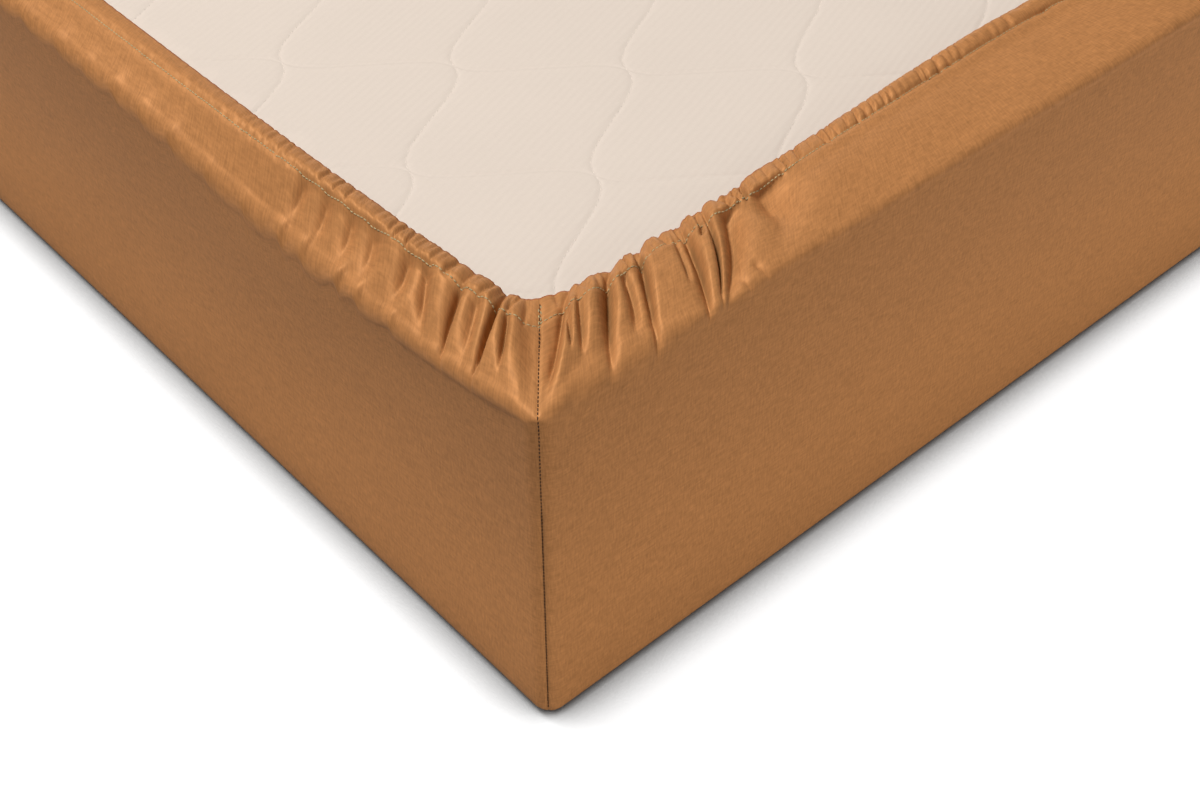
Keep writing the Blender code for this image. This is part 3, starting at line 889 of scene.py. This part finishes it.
def quilted(dotted, plain):
    """Place and height of points given in cells of the lattice."""
    plain_shift, plain_rate = sway(plain, PLAIN_SWAY)
    dotted_shift, dotted_rate = sway(dotted, DOTTED_SWAY)
    x, y = (LATTICE_START[i] + dotted * DOTTED_STEP[i] + plain * PLAIN_STEP[i] for i in (0, 1))
    x = x - plain_shift - dotted_shift
    along_dotted = (DOTTED_STEP[0] - dotted_rate, DOTTED_STEP[1])
    along_plain = (PLAIN_STEP[0] - plain_rate, PLAIN_STEP[1])
    cell = np.abs(along_dotted[0] * along_plain[1] - along_dotted[1] * along_plain[0])
    from_plain = np.abs(dotted - np.round(dotted)) * cell / np.hypot(*along_plain)
    from_dotted = np.abs(plain - np.round(plain)) * cell / np.hypot(*along_dotted)
    nearest = np.minimum(from_plain, from_dotted)
    pillow = PILLOW_DEPTH * np.exp(-nearest / PILLOW_WIDTH)
    return x, y, mattress_high.z - QUILTING_DEPTH * hump(nearest, QUILTING_WIDTH) - pillow


def lattice_range():
    """Whole cells that cover the mattress."""
    steps = np.stack((DOTTED_STEP, PLAIN_STEP), axis=1)
    ends = (mattress_low, mattress_high)
    corners = np.array([(across.x, along.y) for across in ends for along in ends])
    cells = np.linalg.solve(steps, (corners - LATTICE_START).T)
    low = np.floor(cells.min(axis=1)).astype(int) - 1
    return low, np.ceil(cells.max(axis=1)).astype(int) + 1


def mattress_profile():
    """How far out and at what level each row of the side lies, from the quilting down."""
    top = mattress_high.z - PILLOW_DEPTH
    rows = [(out * MM, top - down * MM) for out, down in MATTRESS_EDGE_MM]
    for step in range(MATTRESS_BASE_STEPS + 1):
        turn = QUARTER * step / MATTRESS_BASE_STEPS
        out = MATTRESS_EDGE - MATTRESS_BASE_EDGE * (1 - math.cos(turn))
        rows.append((out, mattress_low.z + MATTRESS_BASE_EDGE * (1 - math.sin(turn))))
    return rows


def make_mattress():
    """A closed block whose top face is quilted."""
    low, high = lattice_range()
    half = np.array(CELL_MARKS)
    marks = np.concatenate((half, [0.5], 1 - half[:0:-1]))
    shares = [(np.arange(low[i], high[i])[:, None] + marks[None, :]).ravel() for i in (0, 1)]
    dotted, plain = np.meshgrid(*shares, indexing="ij")
    x, y, z = quilted(dotted, plain)
    rows, columns = x.shape
    numbers = np.arange(rows * columns).reshape(rows, columns)
    inside = np.abs(x) < WIDTH / 2 + MATTRESS_TRIM
    inside &= np.abs(y) < LENGTH / 2 + MATTRESS_TRIM
    quads, kept = (
        np.stack((grid[:-1, :-1], grid[:-1, 1:], grid[1:, 1:], grid[1:, :-1]), axis=-1)
        for grid in (numbers, inside)
    )
    mesh = bpy.data.meshes.new("quilted_mattress")
    verts = np.stack((x.ravel(), y.ravel(), z.ravel()), axis=1)
    mesh.from_pydata(verts, [], quads[kept.all(axis=-1)])
    bm = bmesh.new()
    bm.from_mesh(mesh)
    centre_x = mattress_high.x - MATTRESS_EDGE - MATTRESS_CORNER_START
    centre_y = mattress_high.y - MATTRESS_EDGE - MATTRESS_CORNER_START
    sides = 4 * MATTRESS_CORNER_CUTS
    for number in range(sides):
        turn = 2 * math.pi * number / sides
        out = Vector((math.cos(turn), math.sin(turn), 0.0))
        centre = Vector((math.copysign(centre_x, out.x), math.copysign(centre_y, out.y), 0.0))
        everything = bm.verts[:] + bm.edges[:] + bm.faces[:]
        cut = centre + out * MATTRESS_CORNER_START
        bmesh.ops.bisect_plane(bm, geom=everything, plane_co=cut, plane_no=out, clear_outer=True)
    loose = [vert for vert in bm.verts if not vert.link_faces]
    bmesh.ops.delete(bm, geom=loose, context="VERTS")
    rim = [edge for edge in bm.edges if edge.is_boundary]
    profile = mattress_profile()
    columns = {}
    for vert in dict.fromkeys(vert for edge in rim for vert in edge.verts):
        beyond = (max(abs(vert.co.x) - centre_x, 0.0), max(abs(vert.co.y) - centre_y, 0.0))
        column = [vert]
        for out, level in profile:
            spot = Vector((vert.co.x, vert.co.y, level))
            radius = min(MATTRESS_CORNER_START + out, MATTRESS_CORNER)
            for axis, centre in enumerate((centre_x, centre_y)):
                if beyond[axis] > 0:
                    reach = centre + MATTRESS_CORNER_START + out - radius
                    reach += radius * beyond[axis] / math.hypot(*beyond)
                    spot[axis] = math.copysign(reach, spot[axis])
            column.append(bm.verts.new(spot))
        columns[vert] = column
    base = []
    for edge in rim:
        first, second = (columns[vert] for vert in edge.verts)
        for row in range(len(profile)):
            bm.faces.new((first[row], second[row], second[row + 1], first[row + 1]))
        base.append(bm.edges.get((first[-1], second[-1])))
    bmesh.ops.contextual_create(bm, geom=base)
    return add_mesh(bm, mesh)


def make_quilting_stitches():
    """Thread along the dotted lines where the sheet leaves the ticking bare."""
    low, high = lattice_range()
    paths = []
    bare_x = WIDTH / 2 - LONG_BAND + THREAD_UNDER_HEM
    bare_y = LENGTH / 2 - END_BAND[0] + THREAD_UNDER_HEM
    shares = np.linspace(low[0], high[0], (high[0] - low[0]) * THREAD_SAMPLES + 1)
    for number in range(low[1], high[1] + 1):
        x, y, z = quilted(shares, np.full_like(shares, number))
        bare = (np.abs(x) < bare_x) & (np.abs(y) < bare_y)
        if bare.sum() >= SHORTEST_THREAD:
            level = np.zeros_like(x)
            path = np.column_stack((x, y, z, level, level, level + 1))
            paths.append(path[bare])
    return stitch_mesh("quilting_stitches", paths, QUILTING_STITCH)


def feed(socket, value):
    """Links an output to an input, or sets the input's value."""
    if isinstance(value, bpy.types.NodeSocket):
        socket.id_data.links.new(value, socket)
    else:
        socket.default_value = value


def set_values(node, **values):
    """Feeds inputs by name, with _ for a space, and sets other settings by attribute."""
    for name, value in values.items():
        label = name.replace("_", " ")
        if label in node.inputs:
            feed(node.inputs[label], value)
        else:
            setattr(node, name, value)


def add_node(tree, kind, **values):
    node = tree.nodes.new("ShaderNode" + kind)
    set_values(node, **values)
    return node


def math_node(tree, operation, *values):
    """The result of a Math node whose inputs are sockets or numbers."""
    node = add_node(tree, "Math", operation=operation)
    for socket, value in zip(node.inputs, values):
        feed(socket, value)
    return node.outputs[0]


def colour_mix(tree, share, first, second):
    node = add_node(tree, "Mix", data_type="RGBA", Factor=share, A=first, B=second)
    return node.outputs["Result"]


def object_place(tree):
    return add_node(tree, "TexCoord").outputs["Object"]


def shader_group(name, inputs, output, kind):
    """A node group with these inputs, named with their kinds, and one output: the group, what it
    is given, and where its result goes."""
    group = bpy.data.node_groups.new(name, "ShaderNodeTree")
    for label, socket in inputs.items():
        group.interface.new_socket(label, in_out="INPUT", socket_type="NodeSocket" + socket)
    group.interface.new_socket(output, in_out="OUTPUT", socket_type="NodeSocket" + kind)
    given = group.nodes.new("NodeGroupInput").outputs
    return group, given, group.nodes.new("NodeGroupOutput").inputs[0]


def thread_grain_group():
    """Fine streaks both ways of a woven cloth, about 0.5, for its height and its shade."""
    inputs = dict.fromkeys(("Cloth Place", "Thread Width", "Slub Length", "Round Share"), "Float")
    inputs["Cloth Place"] = "Vector"
    group, given, result = shader_group("thread_grain", inputs, "Grain", "Float")
    split = add_node(group, "SeparateXYZ", Vector=given["Cloth Place"])
    streaks = []
    for across, along in ((0, 1), (1, 0)):
        place = add_node(
            group,
            "CombineXYZ",
            X=math_node(group, "DIVIDE", split.outputs[across], given["Thread Width"]),
            Y=math_node(group, "DIVIDE", split.outputs[along], given["Slub Length"]),
            Z=GRAIN_SHIFT * across,
        )
        noise = add_node(group, "TexNoise", Scale=1.0, Detail=2.0, Roughness=0.6)
        feed(noise.inputs["Vector"], place.outputs[0])
        streaks.append(noise.outputs["Fac"])
    mix = add_node(group, "Mix", Factor=given["Round Share"], A=streaks[0], B=streaks[1])
    feed(result, mix.outputs[0])
    return group


def uneven_colour_group():
    """A colour that a shade about 0.5 makes darker or lighter, and a soft mottling."""
    numbers = ("Shade", "Shade Strength", "Mottle Size", "Mottle Strength")
    inputs = {"Colour": "Color", **dict.fromkeys(numbers, "Float")}
    group, given, result = shader_group("uneven_colour", inputs, "Colour", "Color")
    scale = math_node(group, "DIVIDE", 1.0, given["Mottle Size"])
    mottle = add_node(group, "TexNoise", Scale=scale, Detail=3.0, Roughness=0.55)
    feed(mottle.inputs["Vector"], object_place(group))
    shifts = []
    for shade, strength in (
        (given["Shade"], given["Shade Strength"]),
        (mottle.outputs["Fac"], given["Mottle Strength"]),
    ):
        shift = math_node(group, "SUBTRACT", shade, 0.5)
        shifts.append(math_node(group, "MULTIPLY", shift, strength))
    gain = math_node(group, "ADD", math_node(group, "ADD", *shifts), 1.0)
    scaled = add_node(group, "VectorMath", operation="SCALE", Vector=given["Colour"], Scale=gain)
    feed(result, scaled.outputs[0])
    return group


def new_material(name, **values):
    """A material, its node tree and its shader, with these values."""
    material = bpy.data.materials.new(name)
    material.use_nodes = True
    shader = material.node_tree.nodes["Principled BSDF"]
    set_values(shader, **values)
    return material, material.node_tree, shader


def finish_material(shader, colour, height, strength, distance):
    """Gives a shader its colour and a bump."""
    bump = add_node(shader.id_data, "Bump", Height=height, Strength=strength, Distance=distance)
    set_values(shader, Base_Color=colour, Normal=bump.outputs["Normal"])


# Colours: red, green, blue and 1
SATEEN = (0.470, 0.204, 0.071, 1.0)
# Painted shade: the hem's folded edge and the return under it are drawn darker and redder
SATEEN_RIM_SHADE = (0.360, 0.105, 0.032, 1.0)
SATEEN_FOLD_SHADE = (0.380, 0.190, 0.071, 1.0)  # painted shade deep in the folds, mixed in where little is open round a point
SATEEN_SHEEN = (1.0, 0.66, 0.38, 1.0)
TICKING = (0.695, 0.594, 0.508, 1.0)
HEM_THREAD = (0.460, 0.360, 0.190, 1.0)
SEAM_THREAD = (0.075, 0.032, 0.013, 1.0)
# Painted shade of the needle holes, at the tips of the sewing stitches
STITCH_HOLE_SHADE = (0.045, 0.022, 0.011, 1.0)
QUILTING_THREAD = (0.770, 0.670, 0.585, 1.0)
FLOOR = (0.15, 0.15, 0.15, 1.0)
WHITE = (1.0, 1.0, 1.0, 1.0)
# Reach of the ambient occlusion that paints shade into the sateen's folds
FOLD_SHADE_REACH = 0.010
GRAIN_SHIFT = 7.3  # keeps the two ways' streaks from looking alike
RIB_PITCH = 0.0049  # of the ticking,
RIB_TURN = math.radians(-19)
WAVE_CYCLE = 0.314  # length of one band of the wave texture at a scale of 1


def sateen_material(grain, uneven):
    material, tree, shader = new_material(
        "golden_sateen",
        Roughness=0.52,
        Metallic=0.10,
        Specular_IOR_Level=0.18,
        Specular_Tint=SATEEN_SHEEN,
    )
    place = add_node(tree, "UVMap", uv_map="cloth").outputs[0]
    threads = add_node(tree, "Group", node_tree=grain, Cloth_Place=place)
    set_values(threads, Thread_Width=0.0013, Slub_Length=0.007, Round_Share=0.45)
    threads = threads.outputs["Grain"]
    # painted shade along the hem's folded edge and its return, darker and redder
    rim = add_node(tree, "Attribute", attribute_name="rim")
    hue = colour_mix(tree, rim.outputs["Fac"], SATEEN, SATEEN_RIM_SHADE)
    # Painted shade: the colour turns darker where the folds close in round a point
    open_share = add_node(tree, "AmbientOcclusion", samples=6, Distance=FOLD_SHADE_REACH)
    deep = add_node(tree, "MapRange", Value=open_share.outputs["AO"])
    set_values(deep, From_Min=0.20, From_Max=0.75, To_Min=1.0, To_Max=0.0)
    hue = colour_mix(tree, deep.outputs["Result"], hue, SATEEN_FOLD_SHADE)
    colour = add_node(tree, "Group", node_tree=uneven, Colour=hue, Shade=threads)
    set_values(colour, Shade_Strength=1.10, Mottle_Size=0.025, Mottle_Strength=0.12)
    finish_material(shader, colour.outputs["Colour"], threads, 0.35, 0.0003)
    return material


def ticking_material(grain, uneven):
    material, tree, shader = new_material(
        "cream_ticking", Roughness=0.75, Specular_IOR_Level=0.3
    )
    place = object_place(tree)
    threads = add_node(tree, "Group", node_tree=grain, Cloth_Place=place)
    set_values(threads, Thread_Width=0.0009, Slub_Length=0.006, Round_Share=0.5)
    threads = threads.outputs["Grain"]
    turned = add_node(tree, "Mapping", Vector=place, Rotation=(0.0, 0.0, RIB_TURN))
    ribs = add_node(tree, "TexWave", Vector=turned.outputs[0], bands_direction="Y")
    set_values(ribs, Scale=WAVE_CYCLE / RIB_PITCH, Distortion=1.2, Detail_Scale=0.6)
    colour = add_node(tree, "Group", node_tree=uneven, Colour=TICKING, Shade=threads)
    set_values(colour, Shade_Strength=0.10, Mottle_Size=0.10, Mottle_Strength=0.04)
    weave = math_node(tree, "MULTIPLY", threads, 0.35)
    height = math_node(tree, "ADD", weave, math_node(tree, "MULTIPLY", ribs.outputs["Fac"], 0.65))
    finish_material(shader, colour.outputs["Colour"], height, 0.22, 0.0004)
    return material


def thread_material(name, thread, end_colour, uneven):
    """Twisted sewing thread whose tips, where it enters the cloth, take the end colour: painted
    shade of the needle holes for the sewing threads, the ticking's own colour for the quilting
    thread.
    """
    material, tree, shader = new_material(name, Roughness=0.55, Specular_IOR_Level=0.15)
    twist = add_node(tree, "TexNoise", Vector=object_place(tree), Scale=1800.0, Detail=1.0)
    twist = twist.outputs["Fac"]
    mixed = add_node(tree, "Group", node_tree=uneven, Colour=thread, Shade=twist)
    set_values(mixed, Shade_Strength=0.9, Mottle_Size=0.012, Mottle_Strength=0.6)
    # At each stitch's tips the colour turns to the end colour: painted needle-hole shade, or the
    # ticking's colour
    end = add_node(tree, "Attribute", attribute_name="stitch_end")
    colour = colour_mix(tree, end.outputs["Fac"], mixed.outputs["Colour"], end_colour)
    finish_material(shader, colour, twist, 0.4, 0.0002)
    return material


# The camera stands where the near corner fills the frame, seen from above
CAMERA_PLACE = (-0.828, -1.469, 0.8422)
CAMERA_HEADING = math.radians(41.73)  # from +Y towards +X
CAMERA_PITCH = math.radians(43.99)  # down from level
CAMERA_LENS_MM = 52.86
CAMERA_SENSOR_MM = 36.0


def make_camera():
    data = bpy.data.cameras.new("camera")
    data.lens = CAMERA_LENS_MM
    data.sensor_width = CAMERA_SENSOR_MM
    data.sensor_fit = "HORIZONTAL"
    camera = add_object(data)
    camera.location = CAMERA_PLACE
    camera.rotation_euler = (QUARTER - CAMERA_PITCH, 0.0, -CAMERA_HEADING)
    bpy.context.scene.camera = camera


# How far round a point the floor's painted contact shadow looks for cover
FLOOR_SHADE_REACH = 0.045
FLOOR_SHADE = (0.37, 0.81)  # open shares between which the floor's glow goes from none to white: a painted contact shadow
FLOOR_BOUNCE_SHARE = 0.02  # of its glow, as other things than the camera see it
FLOOR_HALF = 15.0
SKY = 0.12

# Each lamp's place, what it faces, its width and height, and its power
Lamp = namedtuple("Lamp", "place aim size power")
LAMPS = {
    "key": Lamp((-2.45, 2.65, 7.70), (-0.40, -0.85, 0.20), (2.2, 2.2), 800),
    "front": Lamp((-0.80, -3.40, 0.60), (0.20, -1.00, 0.10), (1.5, 1.5), 22),
    "low_front": Lamp((0.60, -2.10, 0.06), (0.10, -1.00, 0.12), (1.6, 0.1), 4.7),
    "back": Lamp((2.60, 2.40, 1.40), (0.00, 0.00, 0.20), (1.5, 1.5), 10),
    "long_wall_bounce": Lamp((-0.57, -0.50, 0.07), (-0.45, -0.50, 0.07), (1.4, 0.1), 0.33),
    "end_wall_bounce": Lamp((0.05, -1.12, 0.07), (0.05, -1.00, 0.07), (1.1, 0.1), 0.18),
}


def area_light(name, lamp):
    data = bpy.data.lights.new(name, "AREA")
    data.shape = "RECTANGLE"
    data.size, data.size_y = lamp.size
    data.energy = lamp.power
    light = add_object(data)
    light.location = lamp.place
    towards = Vector(lamp.aim) - Vector(lamp.place)
    light.rotation_euler = towards.to_track_quat("-Z", "Y").to_euler()
    light.visible_camera = False


def floor_material():
    """Dark grey, but glowing white for the camera, with a painted contact shadow where its glow
    dies away close to what stands on it.
    """
    material, tree, shader = new_material(
        "pale_floor", Base_Color=FLOOR, Roughness=0.9, Emission_Color=WHITE
    )
    # Painted shadow: the floor's glow dies away where things stand close over it
    open_share = add_node(tree, "AmbientOcclusion", samples=8, Distance=FLOOR_SHADE_REACH)
    glow = add_node(tree, "MapRange", Value=open_share.outputs["AO"])
    set_values(glow, From_Min=FLOOR_SHADE[0], From_Max=FLOOR_SHADE[1], To_Min=0.0, To_Max=1.0)
    ray = add_node(tree, "LightPath")
    seen = add_node(tree, "MapRange", Value=ray.outputs["Is Camera Ray"])
    set_values(seen, To_Min=FLOOR_BOUNCE_SHARE, To_Max=1.0)
    strength = math_node(tree, "MULTIPLY", glow.outputs["Result"], seen.outputs["Result"])
    set_values(shader, Emission_Strength=strength)
    return material


def make_studio():
    scene = bpy.context.scene
    scene.view_settings.view_transform = "Standard"
    world = bpy.data.worlds.new("studio")
    world.use_nodes = True
    set_values(world.node_tree.nodes["Background"], Color=WHITE, Strength=SKY)
    scene.world = world
    for name, lamp in LAMPS.items():
        area_light(name, lamp)
    bm = bmesh.new()
    bmesh.ops.create_grid(bm, x_segments=8, y_segments=8, size=FLOOR_HALF)
    mesh = bpy.data.meshes.new("floor")
    bm.to_mesh(mesh)
    bm.free()
    mesh.materials.append(floor_material())
    add_object(mesh)


def finish_piece(piece, material, slot, *nodes):
    piece.data.materials.append(material)
    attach(piece, "root")
    if nodes:
        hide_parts(*nodes)


make_camera()
make_studio()
grain = thread_grain_group()
uneven = uneven_colour_group()
sheet, band, corner_columns = make_sheet()
hem_stitches, seam_stitches = make_stitches(band, corner_columns)
mattress = make_mattress()
quilting_stitches = make_quilting_stitches()
olive_thread = thread_material("olive_thread", HEM_THREAD, STITCH_HOLE_SHADE, uneven)
dark_thread = thread_material("dark_thread", SEAM_THREAD, STITCH_HOLE_SHADE, uneven)
cream_thread = thread_material("cream_thread", QUILTING_THREAD, TICKING, uneven)
finish_piece(sheet, sateen_material(grain, uneven), "sheet_cotton", "fitted_sheet")
finish_piece(hem_stitches, olive_thread, "sheet_cotton")
finish_piece(seam_stitches, dark_thread, "sheet_cotton")
finish_piece(mattress, ticking_material(grain, uneven), "mattress_ticking", "mattress")
finish_piece(quilting_stitches, cream_thread, "mattress_ticking")
